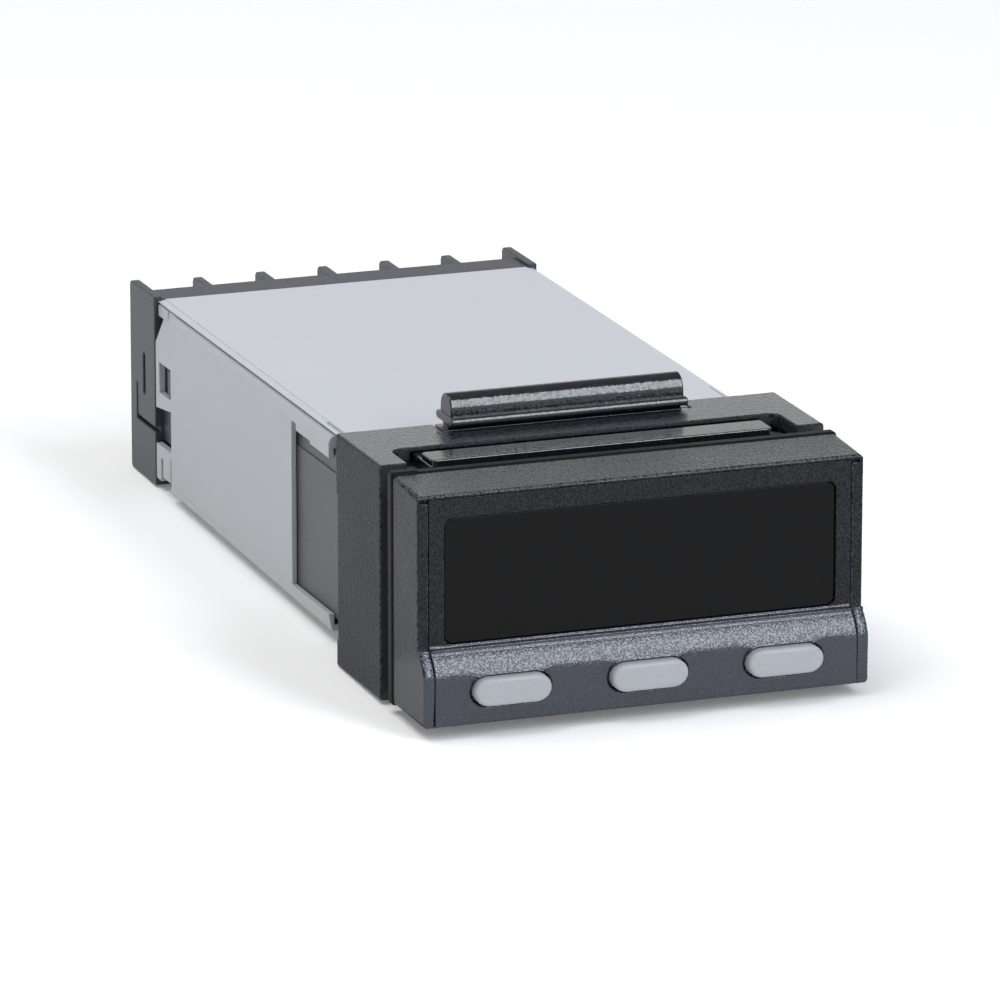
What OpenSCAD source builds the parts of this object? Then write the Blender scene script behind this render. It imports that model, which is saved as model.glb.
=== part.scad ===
// Panel-mount temperature controller with a slide-on mounting frame.
// X runs to the right seen from the front, Y runs into the panel, Z is up.
// The origin is the middle of the panel opening, on the rear face of the bezel.

/* [Front] */
// Width of the front bezel
front_w = 48; // [47:0.5:56]
// Height of the front bezel
front_h = 24; // [23.5:0.5:30]
// Depth from the panel to the display face
bezel_d = 7.2; // [6.8:0.1:10]
// Droop of the bezel's top towards the front
top_droop = 0.35; // [0.1:0.05:0.6]
// Height of the button band above the bottom edge
band_h = 7.7; // [7.4:0.1:9]
// How far the band stands ahead of the display face
band_proud = 1.95; // [1.4:0.05:2.4]
// Radius of the band's shoulder
band_r = 3; // [2.6:0.1:3.4]
// Width of each cheek beside the fascia
cheek_w = 1.2; // [0.9:0.05:1.6]
// Groove between the fascia and each cheek
groove = 0.25; // [0.15:0.05:0.4]
// Thickness of the fascia
fascia_t = 1.3; // [1:0.1:1.6]
// Bezel side to the window
window_side = 2.9; // [2.4:0.1:6]
// Bezel top to the window
window_top = 2.9; // [2.4:0.1:5]
// Recess of the window behind the display face
window_sink = 0.25; // [0.1:0.05:0.5]
// Thickness of the rubber panel seal
seal_t = 1.6; // [1:0.1:2]

/* [Buttons] */
// Bezel side to the centre of the outer buttons
button_side = 9.3; // [8.5:0.1:12]
// Width of a button
button_w = 8.6; // [7:0.1:9.5]
// Height of a button
button_h = 3.5; // [3:0.1:4]
// Height of the button centres above the bottom edge
button_rise = 3.7; // [3.5:0.05:4.2]
// How far the buttons stand out of the band
button_proud = 1; // [0.6:0.1:1.4]
// Gap round each button
button_gap = 0.2; // [0.12:0.02:0.3]
// Travel of a button
button_travel = 0.5; // [0.3:0.05:0.7]

/* [Case] */
// Bezel side to the side of the case
case_inset = 1.55; // [1.5:0.05:2.5]
// Bezel top to the lid
lid_drop = 1.7; // [1.2:0.1:2]
// Bezel bottom to the underside of the case
case_lift = 0.8; // [0.6:0.1:1.1]
// Rise of the underside towards the rear
case_rise = 1.45; // [0.8:0.05:1.6]
// Panel to the tips of the prongs
prong_y = 24.6; // [22:0.2:28]
// Panel to the front edge of the side walls
side_y = 36.5; // [33:0.5:42]
// Panel to the rear of the case
case_rear = 83; // [82.5:0.5:100]
// Length of the latch tabs at the rear of the case
tab_l = 5.9; // [5.4:0.1:7]
// Thickness of the case walls
case_wall = 0.7; // [0.6:0.05:0.9]
// Thickness of the lid
lid_t = 0.55; // [0.45:0.05:0.7]
// Width of the sloped margin of the lid
lid_margin = 1.15; // [0.8:0.05:1.4]

/* [Mounting frame] */
// Panel to the front of the frame
frame_y = 3.65; // [3.4:0.05:6]
// Length of the frame along the case
frame_l = 13.5; // [12.5:0.5:16]
// Thickness of the frame's sides
frame_wall = 1.38; // [1:0.02:2]
// Thickness of the frame's floor
frame_floor = 1.1; // [0.8:0.05:1.6]
// Skin of the frame above the clip
frame_skin = 0.55; // [0.4:0.05:1]
// Running clearance between the frame and the case
frame_gap = 0.3; // [0.2:0.05:0.4]
// Length of the finger recess in the top
recess_l = 5.5; // [4.5:0.1:6.5]

/* [Locking clip] */
// Side of the case to the side of the clip's plate
clip_side = 3.8; // [2.8:0.1:5.4]
// Thickness of the clip's plate
clip_t = 0.85; // [0.7:0.05:1]
// Length of the raised pad in the finger recess
pad_run = 3.5; // [2.5:0.1:3.7]
// Length of the grip bar
grip_w = 25.5; // [22:0.1:28]
// Thickness of the grip bar
grip_t = 3.2; // [2.4:0.1:3.4]
// Height of the grip bar above the frame
grip_h = 3.55; // [3.2:0.05:4.5]

/* [Terminals] */
// Terminals in each row
poles = 6; // [4:1:6]
// Side of the case to the side of the terminal block
block_inset = 0.25; // [0.1:0.05:0.8]
// Thickness of the block's plate
block_t = 4.45; // [4.2:0.05:6]
// Thickness of the barrier fins
fin_t = 1; // [0.8:0.05:1.4]
// How far the fins stand out behind the plate
fin_l = 4.15; // [3.6:0.05:5]
// Top of the block to the centre of the upper row
row_drop = 5.25; // [5:0.05:5.5]
// Diameter of the screw shanks
screw_d = 3; // [2.5:0.1:3.2]
// Diameter of the screw heads
head_d = 5.2; // [4.6:0.1:5.4]

/* [Boards] */
// Thickness of the circuit boards
board_t = 1.6; // [1:0.1:1.8]
// Panel to the display board
display_board_y = 2; // [1.6:0.1:2.6]

/* [Hidden] */
$fn = 48;
// Over-cut that carries a cut through a face
over = 1;
// Small clearance between fixed pieces
fit = 0.05;
// Half sizes of the front
hx = front_w / 2;
hz = front_h / 2;
// Small edge radius of the mouldings
edge_r = 0.35;
corner_r = 0.5;
// Planes of the front
display_y = -bezel_d;
band_y = display_y - band_proud;
fascia_back = display_y + fascia_t;
crease_z = band_h - hz;
lip_t = 0.45;
fascia_top = hz - top_droop - lip_t;
// Step at the head of the band, and the centre of its shoulder
ridge_h = 0.3;
ridge_d = 0.25;
shoulder_y = band_y + band_r;
shoulder_z = crease_z - ridge_h - sqrt(pow(band_r, 2) - pow(band_r - band_proud, 2));
// Bezel walls
cheek_x = hx - cheek_w;
bezel_floor = 1.1;
flange_t = 1.5;
// Notch at the head of each cheek
notch_w = 0.9;
notch_h = 0.35;
notch_d = 0.4;
// Window
window_x = hx - window_side;
window_low = crease_z + ridge_h;
window_high = hz - window_top;
window_r = 0.9;
window_lip = 0.6;
window_mid = (window_low + window_high) / 2;
// Buttons
button_pitch = hx - button_side;
button_z = button_rise - hz;
button_r = 0.5;
button_lip = 0.4;
button_lip_t = 0.6;
button_lip_gap = 0.6;
button_lip_y = band_y + fascia_t + button_lip_gap;
stem_r = 0.8;
// Key switches under the buttons
switch_w = 3.6;
switch_h = 2.8;
switch_t = 3;
plunger_l = 2.5;
plunger_y = display_board_y - switch_t - plunger_l;
press_gap = 0.05;
stem_y = plunger_y - button_travel - press_gap;
// Panel seal
seal_proud = 0.12;
seal_r = 0.4;
seal_tab = 3.05;
seal_rise = 0.15;
// Case
case_x = hx - case_inset;
case_w = 2 * case_x;
case_top = hz - lid_drop;
case_drop = hz - case_lift;
shoulder_r = 0.8;
arc_n = 12;
lid_low = case_top - lid_t;
lid_inset = 0.35;
lid_x = case_x - lid_inset;
lid_slope = 0.12;
lid_step = 0.1;
lid_y = 12;
lid_notch_w = 0.35;
lid_notch_d = 0.25;
lid_notch_y = 28.5;
wall_step = 0.1;
rail_h = 1.9;
rail_z = rail_h - case_drop;
rail_draft = 0.4;
tub_x = case_x - case_wall;
shelf_w = 1.1;
shelf_t = 1.4;
shelf_z = lid_low - shelf_t;
// Slope of the underside
function under_z(y) = -case_drop + case_rise * (y - prong_y) / (case_rear - prong_y);
// Side openings between the prongs
prong_w = 2.35;
prong_z = lid_low - prong_w;
prong_step = 0.3;
prong_slot = 1.4;
prong_root = 1;
// Latch tabs at the rear of the side walls
tab_y = case_rear - tab_l;
tab_inset = 0.35;
tab_t = 0.8;
tab_x = case_x - tab_inset;
tab_in = tab_x - tab_t;
tab_drop = 4.15;
tab_top = lid_low - tab_drop;
tab_lean = 2.4;
tab_low = -1.9;
tab_rise = 0.85;
hook_h = 5.45;
hook_top = hook_h - case_drop;
catch_in = 0.3;
catch_y = tab_y + catch_in;
catch_l = 4.5;
catch_low = 0.15;
catch_h = 3.4;
tab_bevel = 0.7;
side_cut = 1.5;
hook_slot = 0.7;
hook_foot = 1.3;
hook_low = hook_foot - case_drop;
hook_l = 4;
hook_rise = 2.7;
// Chassis
chassis_x = tub_x - fit;
chassis_inset = 0.15;
chassis_drop = 3.95;
chassis_line = lid_low - chassis_drop;
sleeve_inset = 0.1;
sleeve_top = case_top - sleeve_inset;
sleeve_low = sleeve_inset - case_drop;
sleeve_gap = 1;
sleeve_l = prong_y - sleeve_gap;
chassis_lap = 6;
chassis_l = side_y + chassis_lap;
chassis_roof = lid_low - fit;
chassis_foot = 1.4;
chassis_floor = chassis_foot - case_drop;
chassis_wall = 0.9;
board_ledge = 0.6;
pocket_x = chassis_x - chassis_wall;
pocket_low = sleeve_low + chassis_wall;
pocket_high = chassis_roof - chassis_wall;
ledge_y = display_board_y + board_t;
inner_x = pocket_x - board_ledge;
inner_low = pocket_low + board_ledge;
inner_high = pocket_high - board_ledge;
inner_floor = chassis_floor + chassis_wall;
board_fit = 0.15;
// Ratchet on the chassis roof
tooth_n = 7;
tooth_pitch = 1.2;
tooth_w = 20;
tooth_d = 0.4;
tooth_y = 2.6;
clip_teeth = 4;
// Guide pads that the frame runs on
pad_in = 3;
pad_y0 = frame_y + pad_in;
pad_l = frame_l - 2 * pad_in;
pad_foot = 3.2;
pad_drop = 4.75;
pad_z0 = pad_foot - case_drop;
pad_z1 = lid_low - pad_drop;
// Mounting frame and clip
clip_w = case_w - 2 * clip_side;
frame_x = case_x + frame_gap + frame_wall;
frame_in = case_x + frame_gap;
frame_low_in = -case_drop - frame_gap;
frame_low = frame_low_in - frame_floor;
clip_clear = 0.2;
clip_tooth = 0.2;
clip_low = case_top + clip_clear + clip_tooth;
clip_high = clip_low + clip_t;
frame_high = clip_high + fit + frame_skin;
frame_high_in = case_top + frame_gap;
frame_rear = frame_y + frame_l;
slot_gap = 0.15;
channel_x = clip_w / 2 + slot_gap;
recess_margin = 3.05;
recess_x = frame_x - recess_margin;
recess_r = 1.2;
recess_rear = frame_y + recess_l;
neck_w = 0.85;
slot_x = grip_w / 2 + neck_w;
slot_l = 3;
slot_y = frame_rear - slot_l;
clip_back = 0.05;
clip_y = frame_y + clip_back;
clip_pad_side = 3.95;
clip_pad_x = case_x - clip_pad_side;
clip_pad_r = 0.5;
clip_pad_z = frame_high;
relief_d = 0.12;
relief_l = 0.7;
relief_foot = 1.5;
relief_z0 = relief_foot - case_drop;
relief_z1 = chassis_line;
grip_out = 0.1;
grip_y = frame_rear + grip_out - grip_t / 2;
grip_ridge = 0.85;
grip_ridge_z = 0.9;
grip_ridge_r = 0.45;
grip_over = 0.2;
grip_root = 1.6;
// Terminal block
block_x = case_x - block_inset;
block_w = 2 * block_x;
block_y = case_rear + fit;
block_rear = block_y + block_t;
fin_rear = block_rear + fin_l;
block_high = case_top - fit;
block_foot = 0.9;
block_low = under_z(case_rear) - block_foot;
wall_rise = 0.3;
fin_pitch = (block_w - fin_t) / poles;
fin_r = 0.6;
mid_rib = 1;
pole_w = fin_pitch - fin_t;
cell_gap = 0.4;
cell_w = pole_w - cell_gap;
cell_d = 0.9;
arm_x = tab_in - fit;
arm_t = 0.8;
arm_in = 0.3;
arm_low = hook_top + arm_in / 2;
arm_high = catch_low + catch_h + arm_in;
arm_y = tab_y + arm_in;
nub_fit = 0.25;
nub_l = 2;
slit_w = 0.5;
slit_d = 0.6;
tongue_l = 6.55;
slit_y = block_y + tongue_l;
slit_low = -4.1;
slit_high = -0.5;
thumb_y = 3.8;
thumb_w = 0.8;
thumb_low = -1.3;
thumb_high = 3.4;
// Terminals
row_z = block_high - row_drop;
strip_t = 0.8;
strip_w = cell_w - cell_gap;
leg_gap = 0.5;
leg_w = 3;
leg_l = 2.8;
leg_fit = 0.1;
leg_z = row_z + screw_d / 2 + leg_gap;
strip_h = screw_d + 2 * (leg_gap + strip_t);
cell_h = strip_h + cell_gap;
clamp_t = 0.9;
clamp_w = strip_w - cell_gap;
clamp_h = strip_h - cell_gap;
screw_fit = 0.1;
screw_floor = 0.6;
screw_l = block_t - screw_floor;
head_h = 1.9;
head_dome = 0.5;
cross_w = 0.9;
cross_l = 3.2;
cross_d = 1.1;
strip_y = block_rear - cell_d;
clamp_y = strip_y + strip_t;
head_y = clamp_y + clamp_t;
// Boards and what they carry
board_z = leg_z - board_t;
board_gap = 0.2;
board_x = inner_x - board_gap;
pin_l = 0.6;
main_y0 = ledge_y + pin_l;
board_y1 = case_rear - board_gap;
power_in = 2;
power_y0 = prong_y + power_in;
rail_w = 1;
rail_t = 0.8;
rail_fit = 0.1;
digit_side = 4.1;
digit_w = 2 * (window_x - digit_side);
digit_margin = 1.05;
digit_h = window_high - window_low - 2 * digit_margin;
digit_n = 4;
seg_share = 0.4;
seg_l = seg_share * digit_h;
seg_w = 0.8;
seg_d = 0.2;
digit_gap = 0.15;
digit_front = fascia_back + window_lip + digit_gap;
header_w = 16;
header_d = 2.5;
header_h = 2.5;
pin_n = 6;
pin_t = 0.6;
link_x = inner_x - rail_w - board_gap;
link_y = power_y0 + power_in;
top_gap = 0.9;
core_w = 18;
core_d = 15;
core_h = 2 * board_z - top_gap;
core_side = 11;
core_x = core_side - board_x;
core_in = 42.8;
core_y = board_y1 - core_in;
coil_t = 3;
coil_gap = 0.3;
coil_out = 1.5;
relay_w = 12.5;
relay_d = 18;
relay_h = 2 * board_z - top_gap;
relay_side = 17;
relay_x = board_x - relay_side;
relay_in = 28.8;
relay_y = board_y1 - relay_in;
cap_d = 2 * (board_z - top_gap);
cap_l = 15;
cap_side = 8;
cap_x = cap_side - board_x;
cap_in = 21.8;
cap_y = board_y1 - cap_in;
chip_w = 10;
chip_h = 1.4;
chip_y = 20;
lead_n = 10;
lead_l = 1;
lead_w = 0.4;
lead_t = 0.2;

// A box between two corners
module box(low, high) {
    translate(low) cube(high - low);
}

// A box that is the same on both sides of the middle plane
module wide_box(half, y0, y1, z0, z1) {
    box([-half, y0, z0], [half, y1, z1]);
}

// A Y-Z outline drawn out along X, about the middle plane
module along_x(width) {
    rotate([90, 0, 90]) linear_extrude(width, center = true) children();
}

// An X-Z outline drawn out along Y, from y0 to y1
module along_y(y0, y1) {
    translate([0, y1, 0]) rotate([90, 0, 0]) linear_extrude(y1 - y0) children();
}

// Children on both sides of the middle plane
module both_sides() {
    children();
    mirror([1, 0, 0]) children();
}

// Rounded rectangle between two corners
module soft_rect(low, high, r) {
    translate([low.x + r, low.y]) square([high.x - low.x - 2 * r, high.y - low.y]);
    translate([low.x, low.y + r]) square([high.x - low.x, high.y - low.y - 2 * r]);
    for (x = [low.x + r, high.x - r], y = [low.y + r, high.y - r]) {
        translate([x, y]) circle(r);
    }
}

// Rectangle with round ends, about the origin
module pill(w, h) {
    square([w - h, h], center = true);
    for (side = [-1, 1]) {
        translate([side * (w - h) / 2, 0]) circle(h / 2);
    }
}

// Y-Z outline of the front: sloped top, display face, and the band with its round shoulder
module front_profile() {
    polygon([[0, crease_z], [0, hz], [display_y + edge_r, hz - top_droop], [display_y + edge_r, crease_z]]);
    translate([display_y, crease_z]) square([edge_r, hz - top_droop - edge_r - crease_z]);
    translate([display_y + edge_r, hz - top_droop - edge_r]) circle(edge_r);
    translate([display_y - ridge_d, crease_z - band_r / 2])
        square([shoulder_y - display_y + ridge_d, band_r / 2]);
    translate([shoulder_y, shoulder_z]) circle(band_r);
    translate([shoulder_y, -hz]) square([-shoulder_y, band_h]);
    translate([band_y + edge_r, -hz]) square([band_r - edge_r, shoulder_z + hz]);
    translate([band_y, edge_r - hz]) square([band_r, shoulder_z + hz - edge_r]);
    translate([band_y + edge_r, edge_r - hz]) circle(edge_r);
}

module front_bezel() {
    droop_angle = atan(top_droop / (bezel_d - edge_r));
    color("#45464a") difference() {
        intersection() {
            along_x(front_w) front_profile();
            along_y(band_y - over, 0) soft_rect([-hx, -hz], [hx, hz + band_h], corner_r);
            translate([0, 0, hz]) rotate([droop_angle, 0, 0])
                along_y(band_y - over, over) soft_rect([-hx, -front_h - band_h], [hx, 0], corner_r);
        }
        wide_box(cheek_x, band_y - over, -flange_t, bezel_floor - hz, fascia_top + fit);
        wide_box(cheek_x, band_y - over, band_y + fascia_t, -hz - over, 0);
        wide_box(pocket_x, -flange_t - over, over, pocket_low, pocket_high);
        both_sides() {
            box([cheek_x - over, display_y - over, fascia_top - notch_h],
                [cheek_x + notch_w, display_y + notch_d, fascia_top + fit]);
        }
    }
}

module front_fascia() {
    color("#3b4049") difference() {
        along_x(2 * (cheek_x - groove)) intersection() {
            difference() {
                front_profile();
                translate([fascia_t, 0]) front_profile();
                translate([band_y + fascia_t, -hz]) square(edge_r);
            }
            translate([band_y - over, -hz]) square([bezel_d, fascia_top + hz]);
        }
        along_y(band_y - over, 0) soft_rect([-window_x, window_low], [window_x, window_high], window_r);
        for (place = [-1, 0, 1]) {
            translate([place * button_pitch, 0, button_z]) along_y(band_y - over, 0)
                pill(button_w + 2 * button_gap, button_h + 2 * button_gap);
        }
    }
}

module display_window() {
    color("#1b1c1e") {
        along_y(display_y + window_sink, fascia_back)
            soft_rect([fit - window_x, window_low + fit], [window_x - fit, window_high - fit], window_r);
        wide_box(window_x + window_lip, fascia_back, fascia_back + window_lip,
            window_low - window_lip, window_high + window_lip);
    }
}

// Outline of half a button seen from its end: radius against height, with a soft rim
module button_half(length) {
    square([button_h / 2 - button_r, length]);
    square([button_h / 2, length - button_r]);
    translate([button_h / 2 - button_r, length - button_r]) circle(button_r);
}

// One key: soft pill-shaped cap, retaining lip and the stem that presses its switch
module button(place) {
    cap_l = button_lip_y - band_y + button_proud;
    end_x = (button_w - button_h) / 2;
    color("#b2b6bc") translate([place * button_pitch, button_lip_y, button_z]) {
        for (side = [-1, 1]) {
            translate([side * end_x, 0, 0]) rotate([90, 0, 0]) rotate_extrude() intersection() {
                button_half(cap_l);
                square([button_h, 2 * cap_l]);
            }
        }
        along_x(2 * end_x) rotate(90) both_sides() button_half(cap_l);
        along_y(0, button_lip_t) pill(button_w + 2 * button_lip, button_h + 2 * button_lip);
        rotate([-90, 0, 0]) cylinder(h = stem_y - button_lip_y, r = stem_r);
    }
}

module left_button() {
    button(-1);
}

module middle_button() {
    button(0);
}

module right_button() {
    button(1);
}

// A slab ahead of y1 with all its outer edges round, between two corners seen from the front
module soft_slab(low, high, y1, r) {
    mid = (low + high) / 2;
    size = high - low - [2 * r, 2 * r];
    box([low.x + r, 0, low.y + r], [high.x - r, y1, high.y - r]);
    along_y(r, y1 - r) soft_rect(low, high, r);
    for (y = [r, y1 - r]) {
        for (z = [low.y + r, high.y - r]) {
            translate([mid.x, y, z]) rotate([0, 90, 0]) cylinder(h = size.x, r = r, center = true);
        }
        for (x = [low.x + r, high.x - r]) {
            translate([x, y, mid.y]) cylinder(h = size.y, r = r, center = true);
            for (z = [low.y + r, high.y - r]) {
                translate([x, y, z]) sphere(r);
            }
        }
    }
}

// A ring a little larger than the bezel, with a raised tab at each upper corner
module panel_seal() {
    out_x = hx + seal_proud;
    out_z = hz + seal_proud;
    color("#141416") difference() {
        union() {
            soft_slab([-out_x, -out_z], [out_x, out_z], seal_t, seal_r);
            both_sides() soft_slab([out_x - seal_tab, 0], [out_x, out_z + seal_rise], seal_t, seal_r);
        }
        wide_box(chassis_x + fit, -over, seal_t + over, sleeve_low - fit, sleeve_top + fit);
    }
}

// Slots along the inside of a side wall that hold the edge of a board
module board_rail(y0, y1, z0, z1) {
    both_sides() {
        for (z = [z0 - rail_fit - rail_t, z1 + rail_fit]) {
            box([inner_x - rail_w, y0, z], [inner_x + fit, y1, z + rail_t]);
        }
    }
}

module inner_chassis() {
    color("#5b5d62") {
        difference() {
            union() {
                wide_box(chassis_x, 0, sleeve_l, sleeve_low, chassis_line);
                wide_box(chassis_x - chassis_inset, 0, sleeve_l, sleeve_low, chassis_roof);
                wide_box(chassis_x - chassis_inset, 0, lid_y - fit, chassis_roof - over, sleeve_top);
                wide_box(chassis_x, sleeve_l, chassis_l, chassis_floor, chassis_line);
                wide_box(chassis_x - chassis_inset, sleeve_l, chassis_l, chassis_floor, shelf_z - fit);
                wide_box(tub_x - shelf_w - fit, sleeve_l, chassis_l, chassis_floor, chassis_roof);
                wide_box(case_x, pad_y0, pad_y0 + pad_l, pad_z0, pad_z1);
            }
            wide_box(pocket_x, -over, ledge_y, pocket_low, pocket_high);
            wide_box(inner_x, 0, sleeve_l - chassis_wall, inner_low, inner_high);
            wide_box(inner_x, 0, chassis_l + over, inner_floor, inner_high);
            for (i = [0 : tooth_n - 1]) {
                translate([0, tooth_y + i * tooth_pitch, sleeve_top]) along_x(tooth_w)
                    polygon([[0, over], [0, -tooth_d], [tooth_pitch, 0], [tooth_pitch, over]]);
            }
        }
        board_rail(main_y0 + header_d, chassis_l, -board_z - board_t, -board_z);
        board_rail(power_y0, chassis_l, board_z, board_z + board_t);
    }
}

// Points along an arc
function arc(x, z, r, from, to) = [
    for (i = [0 : arc_n]) let (a = from + (to - from) * i / arc_n) [x + r * cos(a), z + r * sin(a)]
];

// X-Z outline of the tub: drafted foot, stepped sides and round shoulders below the lid
module tub_section() {
    side_x = case_x - wall_step;
    round_x = side_x - shoulder_r;
    round_z = lid_low - shoulder_r;
    polygon(concat(
        [[rail_draft - case_x, -case_drop], [case_x - rail_draft, -case_drop]],
        [[case_x, rail_z], [side_x, rail_z]],
        arc(round_x, round_z, shoulder_r, 0, 90),
        arc(-round_x, round_z, shoulder_r, 90, 180),
        [[-side_x, rail_z], [-case_x, rail_z]]
    ));
}

// Y-Z outline of the tub between two planes, from a lift above its sloping underside
module tub_side(lift, y0, y1, high) {
    polygon([[y0, under_z(y0) + lift], [y1, under_z(y1) + lift], [y1, high], [y0, high]]);
}

// Cuts a Y-Z outline through both side walls of the case
module through_sides() {
    both_sides() translate([case_x, 0, 0]) along_x(2 * side_cut) children();
}

// Y-Z outline of the opening between the prongs of a side wall
module prong_opening() {
    mid_y = (prong_y + side_y) / 2;
    translate([prong_y - over, rail_z]) square([side_y - prong_y + over, prong_z - rail_z]);
    translate([mid_y, rail_z]) square([side_y - mid_y, prong_z + prong_step - rail_z]);
    translate([side_y - prong_slot, rail_z]) square([prong_slot, prong_z + prong_root - rail_z]);
}

// Y-Z outline of the openings of a latch tab and of the hook below it
module tab_openings() {
    hook_y = tab_y + hook_slot / 2;
    translate([catch_y, catch_low]) square([catch_l, catch_h]);
    polygon([[tab_y, hook_top], [case_rear + over, hook_top], [case_rear + over, tab_low],
        [tab_y, tab_low + tab_rise]]);
    polygon([[case_rear, tab_top], [case_rear - tab_lean, lid_low], [case_rear + over, lid_low],
        [case_rear + over, tab_top]]);
    translate([hook_y, hook_low]) square([hook_slot, hook_top - hook_slot - hook_low]);
    translate([hook_y, hook_low]) square([hook_l, hook_slot]);
    translate([hook_y + hook_l - hook_slot, hook_low]) square([hook_slot, hook_rise]);
}

module case_tub() {
    color("#b9bdc1") difference() {
        intersection() {
            along_y(prong_y, case_rear) tub_section();
            along_x(case_w + over) tub_side(0, prong_y, case_rear, lid_low);
        }
        along_x(2 * tub_x) tub_side(case_wall, prong_y - over, tab_y - case_wall, shelf_z);
        along_x(2 * tab_in) tub_side(case_wall, tab_y - over, case_rear + over, shelf_z);
        along_x(2 * (tub_x - shelf_w)) tub_side(case_wall, prong_y - over, case_rear + over, lid_low + over);
        through_sides() prong_opening();
        through_sides() tab_openings();
        both_sides() along_y(tab_y, case_rear + over) polygon([[tab_x, -case_drop - over], [tab_x, tab_top],
            [tab_x - tab_bevel, lid_low + over], [case_x + over, lid_low + over],
            [case_x + over, -case_drop - over]]);
    }
}

// Lid with a flat panel a step above its sloped margins, and a notch beside the panel at the front
module top_cover() {
    panel_x = lid_x - lid_margin;
    low_z = case_top - lid_step;
    color("#cbced3") difference() {
        along_y(lid_y, case_rear) polygon([[-lid_x, lid_low], [-lid_x, low_z - lid_slope],
            [-panel_x, low_z], [-panel_x, case_top], [panel_x, case_top], [panel_x, low_z],
            [lid_x, low_z - lid_slope], [lid_x, lid_low]]);
        both_sides() {
            box([panel_x, lid_y - over, low_z - lid_notch_d],
                [panel_x + lid_notch_w, lid_notch_y, case_top + over]);
        }
    }
}

module mounting_frame() {
    color("#47484b") difference() {
        along_y(frame_y, frame_rear) soft_rect([-frame_x, frame_low], [frame_x, frame_high], edge_r);
        wide_box(frame_in, frame_y - over, frame_rear + over, frame_low_in, frame_high_in);
        wide_box(channel_x, frame_y - over, frame_rear + over, 0, frame_high - frame_skin);
        linear_extrude(frame_high + over)
            soft_rect([-recess_x, frame_y - 2 * recess_r], [recess_x, recess_rear], recess_r);
        wide_box(slot_x, slot_y, frame_rear + over, 0, frame_high + over);
        both_sides() {
            box([frame_x - relief_d, frame_rear - relief_l, relief_z0],
                [frame_x + over, frame_rear + over, relief_z1]);
        }
    }
}

// Y-Z outline of the grip bar: bullet section on a V-shaped root
module grip_section() {
    half = grip_t / 2;
    top_z = frame_high + grip_h - half;
    flange_z = frame_high + grip_ridge_z;
    translate([grip_y, top_z]) circle(half);
    translate([grip_y - half, flange_z]) square([grip_t, top_z - flange_z]);
    polygon([[grip_y - grip_root / 2, frame_high - fit], [grip_y + grip_root / 2, frame_high - fit],
        [grip_y + half, flange_z], [grip_y - half, flange_z]]);
}

// Y-Z outline of the round ridges along the foot of the grip bar
module grip_ridges() {
    ridge_z = frame_high + grip_ridge_z;
    reach = grip_t / 2 + grip_ridge - grip_ridge_r;
    for (side = [-1, 1]) {
        translate([grip_y + side * reach, ridge_z]) circle(grip_ridge_r);
    }
    translate([grip_y - reach, ridge_z - grip_ridge_r]) square([2 * reach, 2 * grip_ridge_r]);
}

// A plate that runs under the frame's skin, with a raised pad in the finger recess and a grip bar
module locking_clip() {
    color("#17181a") {
        wide_box(clip_w / 2, clip_y, frame_rear, clip_low, clip_high);
        translate([0, 0, clip_high - fit]) linear_extrude(clip_pad_z - clip_high + fit)
            soft_rect([-clip_pad_x, clip_y], [clip_pad_x, clip_y + pad_run], clip_pad_r);
        wide_box(slot_x - slot_gap, slot_y + slot_gap, frame_rear, clip_high - fit, frame_high);
        along_x(grip_w) grip_section();
        along_x(grip_w + 2 * grip_over) grip_ridges();
        for (i = [0 : clip_teeth - 1]) {
            translate([0, clip_y + i * tooth_pitch, clip_low]) along_x(tooth_w)
                polygon([[0, fit], [0, -clip_tooth], [tooth_pitch, fit]]);
        }
    }
}

// Places its children at every terminal, with the row's side as $row
module at_terminals() {
    for ($row = [-1, 1], i = [0 : poles - 1]) {
        translate([(i - (poles - 1) / 2) * fin_pitch, 0, $row * row_z]) children();
    }
}

// A round pin or hole along Y between two planes
module rod_y(d, y0, y1) {
    translate([0, y1, 0]) rotate([90, 0, 0]) cylinder(h = y1 - y0, d = d);
}

// Y-Z outline of a barrier fin with round rear corners
module fin_section(rise) {
    intersection() {
        soft_rect([block_y - fin_r, block_low], [fin_rear, block_high + rise], fin_r);
        translate([block_y, block_low]) square([fin_rear, block_high + rise - block_low]);
    }
}

// Y-Z outline of the slit round the release tongue in an end wall
module tongue_slit() {
    translate([slit_y - slit_w, slit_low]) square([slit_w, slit_high - slit_low]);
    translate([block_y - over, slit_low - slit_w]) square([slit_y - block_y + over, slit_w]);
    translate([block_y + thumb_y, (thumb_low + thumb_high) / 2]) rotate(90)
        pill(thumb_high - thumb_low, thumb_w);
}

module terminal_block() {
    color("#5f616a") difference() {
        union() {
            wide_box(block_x, block_y, block_rear, block_low, block_high);
            for (i = [0 : poles]) {
                rise = i == 0 || i == poles ? wall_rise : 0;
                translate([fin_t / 2 - block_x + i * fin_pitch, 0, 0]) along_x(fin_t) fin_section(rise);
            }
            wide_box(block_x, block_rear - fit, fin_rear - fin_t, -mid_rib / 2, mid_rib / 2);
            both_sides() {
                box([arm_x - arm_t, arm_y, arm_low], [arm_x, block_y + fit, arm_high]);
                box([arm_x - arm_t, catch_y + nub_fit, catch_low + nub_fit],
                    [tab_x - nub_fit, catch_y + nub_fit + nub_l, catch_low + catch_h - nub_fit]);
            }
        }
        at_terminals() {
            box([-cell_w / 2, block_rear - cell_d, -cell_h / 2], [cell_w / 2, block_rear + fit, cell_h / 2]);
            rod_y(screw_d + 2 * screw_fit, block_rear - cell_d - screw_l, block_rear);
            leg(leg_fit, over);
        }
        both_sides() translate([block_x, 0, 0]) along_x(2 * slit_d) tongue_slit();
    }
}

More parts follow.
